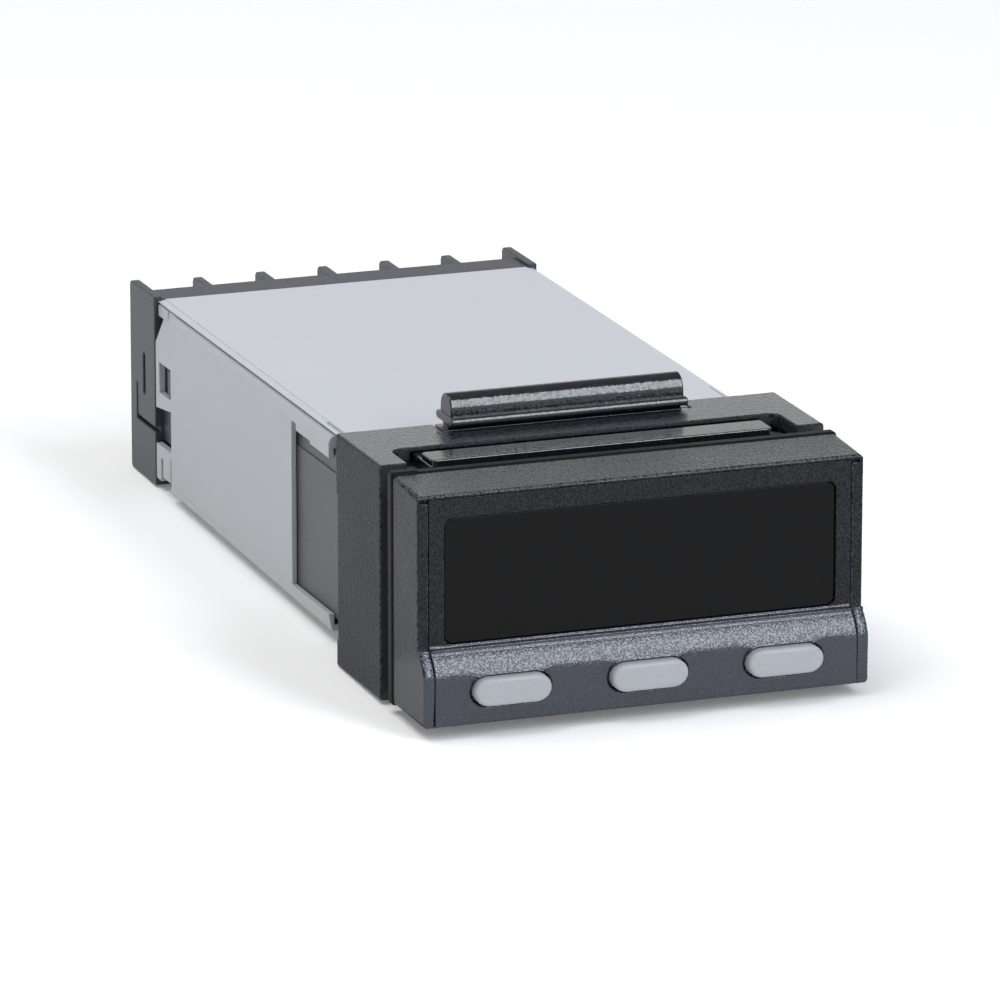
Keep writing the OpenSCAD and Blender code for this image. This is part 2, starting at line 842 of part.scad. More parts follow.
// The leg of a contact strip, grown by a clearance and lengthened by an extra
module leg(grow, extra) {
    near = $row * (leg_z - row_z);
    far = $row * (leg_z - row_z + strip_t);
    box([-leg_w / 2 - grow, block_y - leg_l - extra, min(near, far) - grow],
        [leg_w / 2 + grow, strip_y + strip_t / 2, max(near, far) + grow]);
}

module contact_strips() {
    color("#c9a24a") at_terminals() difference() {
        union() {
            box([-strip_w / 2, strip_y, -strip_h / 2], [strip_w / 2, strip_y + strip_t, strip_h / 2]);
            leg(0, 0);
        }
        rod_y(screw_d + 2 * screw_fit, strip_y - over, strip_y + strip_t + over);
    }
}

module clamp_plates() {
    color("#c4c6c8") at_terminals() difference() {
        box([-clamp_w / 2, clamp_y, -clamp_h / 2], [clamp_w / 2, clamp_y + clamp_t, clamp_h / 2]);
        rod_y(screw_d + 2 * screw_fit, clamp_y - over, clamp_y + clamp_t + over);
    }
}

module terminal_screws() {
    color("#d2d4d6") at_terminals() difference() {
        union() {
            rod_y(screw_d, strip_y - screw_l + screw_fit, head_y + fit);
            rod_y(head_d, head_y, head_y + head_h - head_dome);
            translate([0, head_y + head_h - head_dome, 0]) rotate([-90, 0, 0])
                cylinder(h = head_dome, d1 = head_d, d2 = head_d - 2 * head_dome);
        }
        for (turn = [0, 90]) {
            rotate([0, turn, 0]) box([-cross_l / 2, head_y + head_h - cross_d, -cross_w / 2],
                [cross_l / 2, head_y + head_h + over, cross_w / 2]);
        }
    }
}

module display_board() {
    color("#1f5f3a") wide_box(pocket_x - board_fit, display_board_y, ledge_y,
        pocket_low + board_fit, pocket_high - board_fit);
}

// Seven slots of one digit, about the middle of the digit
module digit_segments() {
    for (z = [-1, 0, 1]) {
        translate([0, z * seg_l]) pill(seg_l - seg_w, seg_w);
    }
    for (x = [-1, 1], z = [-1, 1]) {
        translate([x * seg_l / 2, z * seg_l / 2]) rotate(90) pill(seg_l - seg_w, seg_w);
    }
}

module digit_display() {
    color("#2a2b2e") difference() {
        wide_box(digit_w / 2, digit_front, display_board_y,
            window_mid - digit_h / 2, window_mid + digit_h / 2);
        for (i = [0 : digit_n - 1]) {
            translate([(i - (digit_n - 1) / 2) * digit_w / digit_n, 0, window_mid])
                along_y(digit_front - over, digit_front + seg_d) digit_segments();
        }
    }
}

module key_switches() {
    color("#303236") for (place = [-1, 0, 1]) {
        translate([place * button_pitch, 0, button_z]) {
            wide_box(switch_w / 2, display_board_y - switch_t, display_board_y, -switch_h / 2, switch_h / 2);
            rod_y(2 * stem_r, plunger_y, display_board_y - switch_t + fit);
        }
    }
}

module main_board() {
    color("#1f5f3a") wide_box(board_x, main_y0, board_y1, -board_z - board_t, -board_z);
}

module power_board() {
    color("#1f5f3a") wide_box(board_x, power_y0, board_y1, board_z, board_z + board_t);
}

// A pin header: one bar, with a row of pins through it towards the next board
module board_headers() {
    pin_pitch = header_w / pin_n;
    color("#26272b") {
        wide_box(header_w / 2, main_y0, main_y0 + header_d, -board_z, header_h - board_z);
        box([link_x - header_d, link_y, -board_z], [link_x, link_y + header_w, header_h - board_z]);
        for (i = [0 : pin_n - 1]) {
            along = (i + 0.5) * pin_pitch;
            translate([along - header_w / 2, ledge_y, header_h / 2 - board_z])
                translate([-pin_t / 2, 0, -pin_t / 2]) cube([pin_t, main_y0 - ledge_y + fit, pin_t]);
            translate([link_x - header_d / 2, link_y + along, header_h - board_z - fit])
                translate([-pin_t / 2, -pin_t / 2, 0]) cube([pin_t, pin_t, 2 * board_z - header_h + fit]);
        }
    }
}

// E-core with its coil, lying on the main board
module transformer() {
    leg_t = core_w / 6;
    color("#4a4640") translate([core_x, core_y, -board_z]) {
        difference() {
            wide_box(core_w / 2, 0, core_d, 0, core_h);
            both_sides() {
                box([leg_t / 2 + coil_gap, -over, leg_t],
                    [core_w / 2 - leg_t, core_d + over, core_h - leg_t]);
            }
        }
        wide_box(leg_t / 2 + coil_t, -coil_out, core_d + coil_out,
            leg_t + coil_gap, core_h - leg_t - coil_gap);
    }
}

module output_relay() {
    color("#2d4f86") translate([relay_x, relay_y, -board_z])
        linear_extrude(relay_h) soft_rect([0, 0], [relay_w, relay_d], edge_r);
}

module power_capacitor() {
    color("#2b2f38") translate([cap_x, cap_y, cap_d / 2 - board_z]) rod_y(cap_d, 0, cap_l);
}

// Chip with leads along two sides
module controller_chip() {
    color("#1c1d1f") translate([0, chip_y, -board_z]) {
        wide_box(chip_w / 2, 0, chip_w, lead_t, chip_h);
        for (i = [0 : lead_n - 1]) {
            translate([0, (i + 0.5) * chip_w / lead_n, 0])
                wide_box(chip_w / 2 + lead_l, -lead_w / 2, lead_w / 2, 0, lead_t + fit);
        }
    }
}

front_bezel();
front_fascia();
display_window();
left_button();
middle_button();
right_button();
panel_seal();
inner_chassis();
case_tub();
top_cover();
mounting_frame();
locking_clip();
terminal_block();
contact_strips();
clamp_plates();
terminal_screws();
display_board();
digit_display();
key_switches();
main_board();
power_board();
board_headers();
transformer();
output_relay();
power_capacitor();
controller_chip();
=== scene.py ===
"""Looks of a panel-mount temperature controller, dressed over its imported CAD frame.

Every visible CAD node gets a softened copy with moulded edges and a procedural finish. The terminal
hardware at the rear is built here and laid out with Geometry Nodes.
"""

from __future__ import annotations

import logging
import math
from dataclasses import dataclass, field
from enum import Enum
from typing import Any, Callable

import bmesh
import bpy
from mathutils import Matrix, Vector

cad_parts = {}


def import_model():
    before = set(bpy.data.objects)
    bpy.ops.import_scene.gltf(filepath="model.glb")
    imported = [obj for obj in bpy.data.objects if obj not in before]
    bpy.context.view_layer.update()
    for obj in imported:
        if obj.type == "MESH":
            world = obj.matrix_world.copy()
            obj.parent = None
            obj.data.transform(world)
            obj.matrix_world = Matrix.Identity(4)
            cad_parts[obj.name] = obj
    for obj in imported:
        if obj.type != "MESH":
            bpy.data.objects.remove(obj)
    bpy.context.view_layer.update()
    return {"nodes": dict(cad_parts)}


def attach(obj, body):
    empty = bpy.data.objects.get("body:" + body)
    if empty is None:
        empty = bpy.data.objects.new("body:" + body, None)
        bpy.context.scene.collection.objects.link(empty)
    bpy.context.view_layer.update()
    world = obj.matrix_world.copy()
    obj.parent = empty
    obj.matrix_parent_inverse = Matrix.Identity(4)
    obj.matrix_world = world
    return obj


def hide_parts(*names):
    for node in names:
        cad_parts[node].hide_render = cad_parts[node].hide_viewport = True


# Short names for types
Piece = bpy.types.Object
Nodes = dict[str, Piece]
Shape = bmesh.types.BMesh
Tree = bpy.types.NodeTree
Socket = bpy.types.NodeSocket
Pair = tuple[float, float]
Triple = tuple[float, float, float]
Face = bpy.types.MeshPolygon

LOG = logging.getLogger("controller")
MM = 0.001
# Parts of a face's normal: for a face that looks up, one that looks partly forward and a flat front
LOOKS_UP = 0.85
LOOKS_FRONT = 0.3
FLAT_FRONT = 0.97
# In millimetres: how close corners are merged, and how close a corner is to a line or surface it is on
MERGE = 0.002
ON_LINE = 0.001
ON_SURFACE = 0.02
# In degrees: faces become one below the first, and an edge is rounded past the second and shaded as
# an edge past the third
FLAT_ANGLE = 0.4
SHARP_ANGLE = 28.0
SHADE_ANGLE = 40.0
# Faces across a rounded edge, and the room it needs beside it as a multiple of its width
ROUND_STEPS = 3
EDGE_ROOM = 2.2
# Most noise lies between these two, which become the ends of a pattern
NOISE_ENDS = (0.3, 0.7)
# Width of the slow drift of colour in millimetres, and the least share of the main colour in it
DRIFT_WIDTH = 9.0
DRIFT_LEAST = 0.7
# Scale of a drawn pattern along its lines
DRAWN = 0.06
# Change of roughness over a coarse and a fine grain, and the least roughness
COARSE_SPREAD = 0.12
FINE_SPREAD = 0.04
LEAST_ROUGH = 0.03
# Share of the relief left in a smoother zone
ZONE_RELIEF = 0.3


def linear(hex_colour: str) -> tuple[float, float, float, float]:
    """Turns an sRGB hex colour into linear values.

    Args:
        hex_colour: Six hex digits after a hash sign.

    Returns:
        Linear red, green and blue, and an alpha of one.
    """
    parts = [int(hex_colour[i : i + 2], 16) / 255 for i in (1, 3, 5)]
    red, green, blue = (p / 12.92 if p <= 0.04045 else ((p + 0.055) / 1.055) ** 2.4 for p in parts)
    return red, green, blue, 1.0


def add_node(
    tree: Tree,
    kind: str,
    inputs: dict[str | int, Any] | None = None,
    **settings: Any,
) -> bpy.types.Node:
    """Adds a node with its settings, and sets or links its inputs.

    Args:
        tree: The tree that takes the node.
        kind: The node's type name.
        inputs: A value or an output socket for each input, by name, or by number where inputs share one.
        settings: Values for the node's own properties.

    Returns:
        The new node.
    """
    node = tree.nodes.new(kind)
    for key, value in settings.items():
        setattr(node, key, value)
    for key, value in (inputs or {}).items():
        if isinstance(value, Socket):
            tree.links.new(value, node.inputs[key])
        else:
            node.inputs[key].default_value = value
    return node


def combine(tree: Tree, operation: str, *values: Any) -> Socket:
    """Adds a calculation with two or three values.

    Args:
        tree: The tree that takes the node.
        operation: Name of the calculation.
        values: Numbers or output sockets.

    Returns:
        The result.
    """
    return add_node(tree, "ShaderNodeMath", dict(enumerate(values)), operation=operation).outputs[0]


def ramp(tree: Tree, value: Socket, ends: Pair, levels: Pair = (0.0, 1.0), kind: str = "LINEAR") -> Socket:
    """Turns the span between two values into the span between two others.

    Args:
        tree: The tree that takes the node.
        value: What is turned.
        ends: The two values.
        levels: What they become.
        kind: How it runs between them.

    Returns:
        The result.
    """
    names = ("From Min", "From Max", "To Min", "To Max")
    inputs = {"Value": value, **dict(zip(names, ends + levels))}
    return add_node(tree, "ShaderNodeMapRange", inputs, interpolation_type=kind).outputs[0]


class Surface(Enum):
    """How the surface of a finish was made."""

    SPARK = "spark-eroded mould, with fine glinting grain"
    SATIN = "satin mould, with a faint soft grain"
    GLOSS = "polished mould"
    METAL = "rolled or plated metal, with fine drawn lines"
    BOARD = "woven laminate under lacquer"


@dataclass(frozen=True)
class Patch:
    """A smoother zone of a moulding, below a slanted soft line. Lengths are in millimetres.

    Attributes:
        colour: The zone's colour.
        rough: The zone's roughness.
        high: Height of the line at the front.
        front: Place of the front along the depth.
        slant: Drop of the line for each millimetre of depth.
        soft: Width of the soft line.
    """

    colour: str
    rough: float
    high: float
    front: float
    slant: float
    soft: float


@dataclass(frozen=True)
class Finish:
    """One real material with its colour and surface.

    Attributes:
        name: Name of the material.
        surface: How the surface was made.
        colour: Main colour.
        shade: Second colour of the slow variation.
        rough: Mean roughness.
        specular: Specular level, where one half is plain plastic.
        grain: Width of the grain in millimetres.
        bump: Strength of the grain.
        coat: Strength of a clear coat.
        patch: A smoother zone, if it has one.
    """

    name: str
    surface: Surface
    colour: str
    shade: str
    rough: float
    specular: float = 0.5
    grain: float = 0.3
    bump: float = 0.1
    coat: float = 0.0
    patch: Patch | None = None

    def material(self) -> bpy.types.Material:
        """Gives the material, and builds it the first time.

        Returns:
            The material.
        """
        found = bpy.data.materials.get(self.name)
        if found:
            return found
        material = bpy.data.materials.new(self.name)
        material.use_nodes = True
        tree = material.node_tree
        shader = tree.nodes["Principled BSDF"]
        place = add_node(tree, "ShaderNodeTexCoord").outputs["Object"]
        grain = self._grain(tree, place)
        looks = {"Base Color": self._colour, "Roughness": self._rough, "Normal": self._bump}
        for name, look in looks.items():
            tree.links.new(look(tree, place, grain), shader.inputs[name])
        if self.surface is Surface.METAL:
            shader.inputs["Metallic"].default_value = 1.0
        else:
            shader.inputs["Specular IOR Level"].default_value = self.specular
        shader.inputs["Coat Weight"].default_value = self.coat
        return material

    def _grain(self, tree: Tree, place: Socket) -> Socket:
        """Adds the fine pattern of the surface.

        Args:
            tree: Its tree.
            place: Object coordinates.

        Returns:
            The height of the pattern.
        """
        scale = 1 / (self.grain * MM)
        if self.surface is Surface.METAL:
            drawn = add_node(tree, "ShaderNodeMapping", {"Vector": place, "Scale": (1.0, 1.0, DRAWN)})
            place = drawn.outputs[0]
        if self.surface is Surface.BOARD:
            weave = add_node(tree, "ShaderNodeTexChecker", {"Vector": place, "Scale": scale})
            return weave.outputs["Fac"]
        noise = add_node(
            tree, "ShaderNodeTexNoise", {"Vector": place, "Scale": scale, "Detail": 1.0, "Roughness": 0.6}
        )
        if self.surface is not Surface.SPARK:
            return noise.outputs["Fac"]
        return ramp(tree, noise.outputs["Fac"], NOISE_ENDS)

    def _zone(self, tree: Tree, place: Socket) -> Socket:
        """Adds the soft mask of the smoother zone.

        Args:
            tree: Its tree.
            place: Object coordinates.

        Returns:
            One inside the zone, and zero outside.
        """
        patch = self.patch
        along = add_node(tree, "ShaderNodeSeparateXYZ", {0: place}).outputs
        slope = combine(tree, "MULTIPLY_ADD", along["Y"], patch.slant, along["Z"])
        line = (patch.high + patch.slant * patch.front) * MM
        half = patch.soft * MM / 2
        return ramp(tree, slope, (line + half, line - half), kind="SMOOTHSTEP")

    def _colour(self, tree: Tree, place: Socket, grain: Socket) -> Socket:
        """Adds the slow drift of colour, the grain's specks and the smoother zone.

        Args:
            tree: Its tree.
            place: Object coordinates.
            grain: Height of the pattern.

        Returns:
            The colour.
        """
        slow = add_node(
            tree, "ShaderNodeTexNoise", {"Vector": place, "Scale": 1 / (DRIFT_WIDTH * MM), "Detail": 3.0}
        )
        drift = ramp(tree, slow.outputs["Fac"], NOISE_ENDS, (DRIFT_LEAST, 1.0))
        level = combine(tree, "MULTIPLY", drift, grain)
        inputs = {0: level, 6: linear(self.shade), 7: linear(self.colour)}
        mixed = add_node(tree, "ShaderNodeMix", inputs, data_type="RGBA").outputs[2]
        if not self.patch:
            return mixed
        inputs = {0: self._zone(tree, place), 6: mixed, 7: linear(self.patch.colour)}
        return add_node(tree, "ShaderNodeMix", inputs, data_type="RGBA").outputs[2]

    def _rough(self, tree: Tree, place: Socket, grain: Socket) -> Socket:
        """Adds the roughness, which follows the grain and is even in the smoother zone.

        Args:
            tree: Its tree.
            place: Object coordinates.
            grain: Height of the pattern.

        Returns:
            The roughness.
        """
        coarse = self.surface in (Surface.SPARK, Surface.METAL)
        spread = COARSE_SPREAD if coarse else FINE_SPREAD
        levels = (max(LEAST_ROUGH, self.rough - spread), self.rough + spread)
        level = ramp(tree, grain, NOISE_ENDS, levels)
        if not self.patch:
            return level
        inputs = {0: self._zone(tree, place), 2: level, 3: self.patch.rough}
        return add_node(tree, "ShaderNodeMix", inputs, data_type="FLOAT").outputs[0]

    def _bump(self, tree: Tree, place: Socket, grain: Socket) -> Socket:
        """Adds the relief of the grain, which fades in the smoother zone.

        Args:
            tree: Its tree.
            place: Object coordinates.
            grain: Height of the pattern.

        Returns:
            The bent normal.
        """
        strength: Any = self.bump
        if self.patch:
            levels = (self.bump, self.bump * ZONE_RELIEF)
            strength = ramp(tree, self._zone(tree, place), (0.0, 1.0), levels)
        inputs = {"Strength": strength, "Distance": self.grain * MM / 2, "Height": grain}
        return add_node(tree, "ShaderNodeBump", inputs).outputs[0]


# Glass-filled plastic from a spark-eroded mould: dark, with a dry glint. The real pits are about
# 0.1 mm wide, too fine for the render, so on all these mouldings they are drawn two to four times as
# wide. The satin grain of the other mouldings is drawn wider than real in the same way
BEZEL = Finish(
    "spark_eroded_bezel_plastic",
    Surface.SPARK,
    "#50515a",
    "#060607",
    0.46,
    specular=0.19,
    grain=0.33,
    bump=0.38,
    patch=Patch("#373940", rough=0.34, high=-4.2, front=-9.15, slant=0.35, soft=1.6),
)
# The same plastic where it looks up: shinier, so that it takes up the light from above
BEZEL_TOP = Finish("spark_eroded_bezel_top", Surface.SPARK, "#4b4c54", "#0c0d0f", 0.3, grain=0.29, bump=0.34)
# The same plastic on the flat front, painted darker as shade: almost black between fine pale specks
FASCIA_SHADE = Finish(
    "spark_eroded_fascia_painted_shade",
    Surface.SPARK,
    "#2b2c32",
    "#010101",
    0.2,
    specular=0.22,
    grain=0.22,
    bump=0.46,
)
# Painted shade on the bezel's rear flange, in the gap behind the bezel: the same plastic, matt and almost
# black
FLANGE_SHADE = Finish("flange_painted_shade", Surface.SATIN, "#17181a", "#121315", 0.55, specular=0.1)
# The same plastic in blue-grey, from a brighter mould: a broad highlight that breaks into glints
BAND = Finish(
    "spark_eroded_band_plastic",
    Surface.SPARK,
    "#1c2940",
    "#080c16",
    0.24,
    specular=0.84,
    grain=0.21,
    bump=0.13,
)
# Smoked acrylic: almost black, polished on both sides
LENS = Finish("smoked_acrylic", Surface.GLOSS, "#0b0b0c", "#080809", 0.1, specular=0.15, grain=2.0, bump=0.01)
# Pale ABS keys with a fine satin skin
KEYS = Finish("pale_key_plastic", Surface.SATIN, "#aeb1b5", "#a6a9ad", 0.4, grain=0.35, bump=0.05)
# Black nitrile rubber: matt, so that it reads as a dark line
RUBBER = Finish(
    "nitrile_seal_rubber", Surface.SATIN, "#0c0c0e", "#09090a", 0.5, specular=0.12, grain=0.5, bump=0.08
)
# Dark grey polycarbonate sleeve, smooth from the mould
SLEEVE = Finish("polycarbonate_sleeve", Surface.SATIN, "#4b4d51", "#434549", 0.45, grain=0.35, bump=0.06)
# Pale grey polycarbonate of the case and its lid: satin, with slow moulding shadows
# The case is the lid's plastic painted darker, as the shade on its walls
CASE_SHADE = Finish("pale_case_polycarbonate_painted_shade", Surface.SATIN, "#b0b4b8", "#a8acb1", 0.42, bump=0.05)
LID = Finish("pale_lid_polycarbonate", Surface.SATIN, "#c2c6cb", "#babec4", 0.4, bump=0.05)
# Dark glass-filled nylon: spark-eroded sides, and a smoother top that mirrors what stands on it
COLLAR = Finish(
    "spark_eroded_frame_nylon",
    Surface.SPARK,
    "#494a50",
    "#020202",
    0.52,
    specular=0.16,
    grain=0.34,
    bump=0.42,
)
COLLAR_TOP = Finish("smooth_frame_nylon", Surface.SPARK, "#363840", "#1b1d21", 0.14, grain=0.36, bump=0.12)
# The frame's faces that look forward, from the smooth half of the mould: even and satin
COLLAR_FACE = Finish("satin_frame_nylon", Surface.SATIN, "#3b3c43", "#323339", 0.36, specular=0.4, bump=0.06)
# Polished black nylon with a faint ripple, so that a lamp's highlight on it sparkles
CLIP = Finish(
    "polished_clip_nylon", Surface.SPARK, "#1c1d20", "#151619", 0.15, specular=0.75, grain=0.25, bump=0.045
)
CLIP_TOP = Finish(
    "polished_clip_top", Surface.SPARK, "#24252a", "#1b1c20", 0.12, specular=0.7, grain=0.36, bump=0.05
)
# Dark glass-filled polyester of the block: satin, slightly blue
TERMINAL = Finish("terminal_block_polyester", Surface.SATIN, "#343842", "#2c3039", 0.45)
# Rolled brass of the contact strips: warm yellow, with lines wider than real ones so that they show
BRASS = Finish("rolled_brass", Surface.METAL, "#c9a24a", "#b58f3f", 0.3, grain=0.15, bump=0.08)
# Nickel-plated steel of the plates and screws: bright grey, with the same wider lines
STEEL = Finish("nickel_plated_steel", Surface.METAL, "#c9cbce", "#b9bbbf", 0.28, grain=0.2, bump=0.08)
# Green board laminate: a woven pattern under lacquer
LAMINATE = Finish(
    "green_board_laminate", Surface.BOARD, "#1f5f3a", "#1a5232", 0.35, grain=0.4, bump=0.06, coat=0.3
)
# Black moulding resin of the small components: dull and nearly even
COMPONENT = Finish("black_component_resin", Surface.SATIN, "#26272b", "#1f2023", 0.5, grain=0.25)
# Blue polyester of the relay's cover: even, a little glossy
RELAY = Finish("blue_relay_polyester", Surface.SATIN, "#2d4f86", "#274676", 0.35, grain=0.4, bump=0.05)
# Pressed ferrite of the transformer: grey-brown and grainy
FERRITE = Finish("pressed_ferrite", Surface.SPARK, "#4a4640", "#3c3934", 0.6, grain=0.25, bump=0.3)


def node_copy(node: Piece) -> Shape:
    """Copies a CAD node into a merged mesh with whole flat faces.

    Args:
        node: The CAD node's object, which stays as it is.

    Returns:
        The copy, ready for edge work.
    """
    shape = bmesh.new()
    shape.from_mesh(node.data)
    bmesh.ops.remove_doubles(shape, verts=shape.verts, dist=MERGE * MM)
    flat = math.radians(FLAT_ANGLE)
    bmesh.ops.dissolve_limit(shape, angle_limit=flat, verts=shape.verts, edges=shape.edges)
    return shape


def split(shape: Shape, place: Triple, axis: Triple) -> None:
    """Cuts the faces of a shape along a plane and keeps both sides.

    Args:
        shape: The shape.
        place: A point of the plane in millimetres.
        axis: The direction square to the plane.
    """
    parts = shape.verts[:] + shape.edges[:] + shape.faces[:]
    point = tuple(value * MM for value in place)
    bmesh.ops.bisect_plane(shape, geom=parts, plane_co=point, plane_no=axis)


def shaped(name: str, shape: Shape) -> Piece:
    """Turns a finished shape into an object of the scene.

    Args:
        name: Name of the piece.
        shape: The shape, which is freed.

    Returns:
        The object, at the origin.
    """
    mesh = bpy.data.meshes.new(name)
    shape.to_mesh(mesh)
    shape.free()
    piece = bpy.data.objects.new(name, mesh)
    bpy.context.scene.collection.objects.link(piece)
    return piece


def settle(piece: Piece) -> None:
    """Applies a piece's modifiers to its mesh.

    Args:
        piece: The piece, which keeps no modifier.
    """
    graph = bpy.context.evaluated_depsgraph_get()
    mesh = bpy.data.meshes.new_from_object(piece.evaluated_get(graph))
    piece.modifiers.clear()
    piece.data = mesh


@dataclass(frozen=True)
class Zone:
    """A box, the same on both sides of the middle plane, whose edges stay as the mould left them.

    Attributes:
        low: Lowest corner in millimetres.
        high: Highest corner in millimetres.
    """

    low: Triple
    high: Triple

    def holds(self, edge: bmesh.types.BMEdge) -> bool:
        """Tells whether the middle of an edge lies in the zone."""
        x, y, z = (edge.verts[0].co + edge.verts[1].co) / (2 * MM)
        return all(low <= at <= high for low, at, high in zip(self.low, (abs(x), y, z), self.high))


def face_span(edge: bmesh.types.BMEdge, face: bmesh.types.BMFace) -> float:
    """Gives how far a face reaches from one of its edges.

    Args:
        edge: The edge.
        face: A face beside it.

    Returns:
        The reach in metres.
    """
    start = edge.verts[0].co
    along = (edge.verts[1].co - start).normalized()
    offsets = (corner.co - start for corner in face.verts)
    return max((offset - along * offset.dot(along)).length for offset in offsets)


def round_edges(shape: Shape, width: float, plain: tuple[Zone, ...] = ()) -> None:
    """Rounds the outer edges of a shape where the faces beside them leave room.

    Args:
        shape: The shape.
        width: Width of the rounding in millimetres.
        plain: Zones whose edges are left alone.
    """
    room = EDGE_ROOM * width * MM
    edges = [
        edge
        for edge in shape.edges
        if edge.is_manifold
        and edge.is_convex
        and edge.calc_face_angle() > math.radians(SHARP_ANGLE)
        and min(face_span(edge, face) for face in edge.link_faces) > room
        and not any(zone.holds(edge) for zone in plain)
    ]
    bmesh.ops.bevel(
        shape,
        geom=edges,
        offset=width * MM,
        segments=ROUND_STEPS,
        profile=0.5,
        affect="EDGES",
        clamp_overlap=False,
        loop_slide=False,
    )


def smooth(piece: Piece) -> None:
    """Smooths the shading of a piece and keeps its flat faces flat.

    Args:
        piece: The piece.
    """
    piece.data.shade_smooth()
    piece.data.set_sharp_from_angle(angle=math.radians(SHADE_ANGLE))
    even = piece.modifiers.new("even_shading", "WEIGHTED_NORMAL")
    even.keep_sharp = True
    settle(piece)


def dress(piece: Piece, finish: Finish, slot: str, body: str, *nodes: str) -> None:
    """Gives a piece its finish and its place in the model.

    Args:
        piece: The piece.
        finish: Its finish.
        slot: The record's material slot, which is not used.
        body: The CAD body it moves with.
        nodes: The CAD nodes that it stands for.
    """
    if not piece.data.materials:
        piece.data.materials.append(finish.material())
    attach(piece, body)
    if nodes:
        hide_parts(*nodes)
    LOG.info("%s: %d faces on %s", piece.name, len(piece.data.polygons), body)


def paint(piece: Piece, finish: Finish, chosen: Callable[[Face], bool]) -> None:
    """Gives some faces of a piece another finish.

    Args:
        piece: The piece.
        finish: The other finish.
        chosen: Tells whether a face gets it.
    """
    piece.data.materials.append(finish.material())
    index = len(piece.data.materials) - 1
    for face in piece.data.polygons:
        if chosen(face):
            face.material_index = index


@dataclass(frozen=True)
class Moulding:
    """One visible CAD node and how its copy is dressed.

    Attributes:
        node: The CAD node.
        finish: Its finish.
        slot: The record's material slot.
        edge: Width of its rounded edges in millimetres.
        body: The CAD body it moves with.
        plain: Zones whose edges are left as they are.
        upper: Finish of the faces that look up, if it is another one.
        ease: Change of the shape before its edges are rounded, if it has one.
    """

    node: str
    finish: Finish
    slot: str
    edge: float
    body: str = "housing"
    plain: tuple[Zone, ...] = ()
    upper: Finish | None = None
    ease: Callable[[Shape], None] | None = None

    def build(self, nodes: Nodes) -> Piece:
        """Makes the softened copy and dresses it.

        Args:
            nodes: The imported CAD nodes.

        Returns:
            The finished piece.
        """
        shape = node_copy(nodes[self.node])
        if self.ease:
            self.ease(shape)
        round_edges(shape, self.edge, self.plain)
        piece = shaped(f"{self.node}_skin", shape)
        smooth(piece)
        dress(piece, self.finish, self.slot, self.body, self.node)
        if self.upper:
            paint(piece, self.upper, lambda face: face.normal.z > LOOKS_UP)
        return piece


@dataclass(frozen=True)
class Shoulder:
    """The round head of the button band, drawn out a little flatter than the plain arc of the solid.

    Lengths are in millimetres.

    Attributes:
        high: Height of its upper end.
        low: Height of its lower end.
        front: Depth of its lower end.
        radius: Radius of the plain arc.
        crease: Height of the step at the head of the band.
        step: Depth of the step's edge.
        sill: Height of the window's lower edge, where the band's finish starts.
        side: Half width of the solid's fascia.
        close: Half width that leaves only a fine line beside the cheeks.
    """

    high: float = -4.707
    low: float = -7.41
    front: float = -9.15
    radius: float = 3.0
    crease: float = -4.3
    step: float = -7.72
    sill: float = -3.92
    side: float = 22.55
    close: float = 22.75

    def arc(self, height: float) -> float:
        """Gives the depth of the plain arc at a height, in millimetres."""
        rise = max(0.0, min(height, self.high) - self.low)
        return self.front + self.radius - math.sqrt(self.radius**2 - rise**2)

    def curve(self, height: float) -> float:
        """Gives the depth of the drawn front at a height, in millimetres."""
        share = min(1.0, max(0.0, (height - self.low) / (self.high - self.low)))
        return self.front + (self.step - self.front) * share**2

    def ease(self, shape: Shape) -> None:
        """Draws the shoulder out, closes the side gaps, and cuts the faces where the finish changes.

        Args:
            shape: The fascia or the bezel.
        """
        for corner in shape.verts:
            across, depth, height = corner.co / MM
            on_band = self.low < height < self.crease + ON_SURFACE / 2
            if on_band and abs(depth - self.arc(height)) < ON_SURFACE:
                corner.co.y = self.curve(height) * MM
            if abs(abs(across) - self.side) < ON_LINE:
                corner.co.x = math.copysign(self.close * MM, across)
        split(shape, (0, 0, self.sill), (0, 0, 1))


SHOULDER = Shoulder()


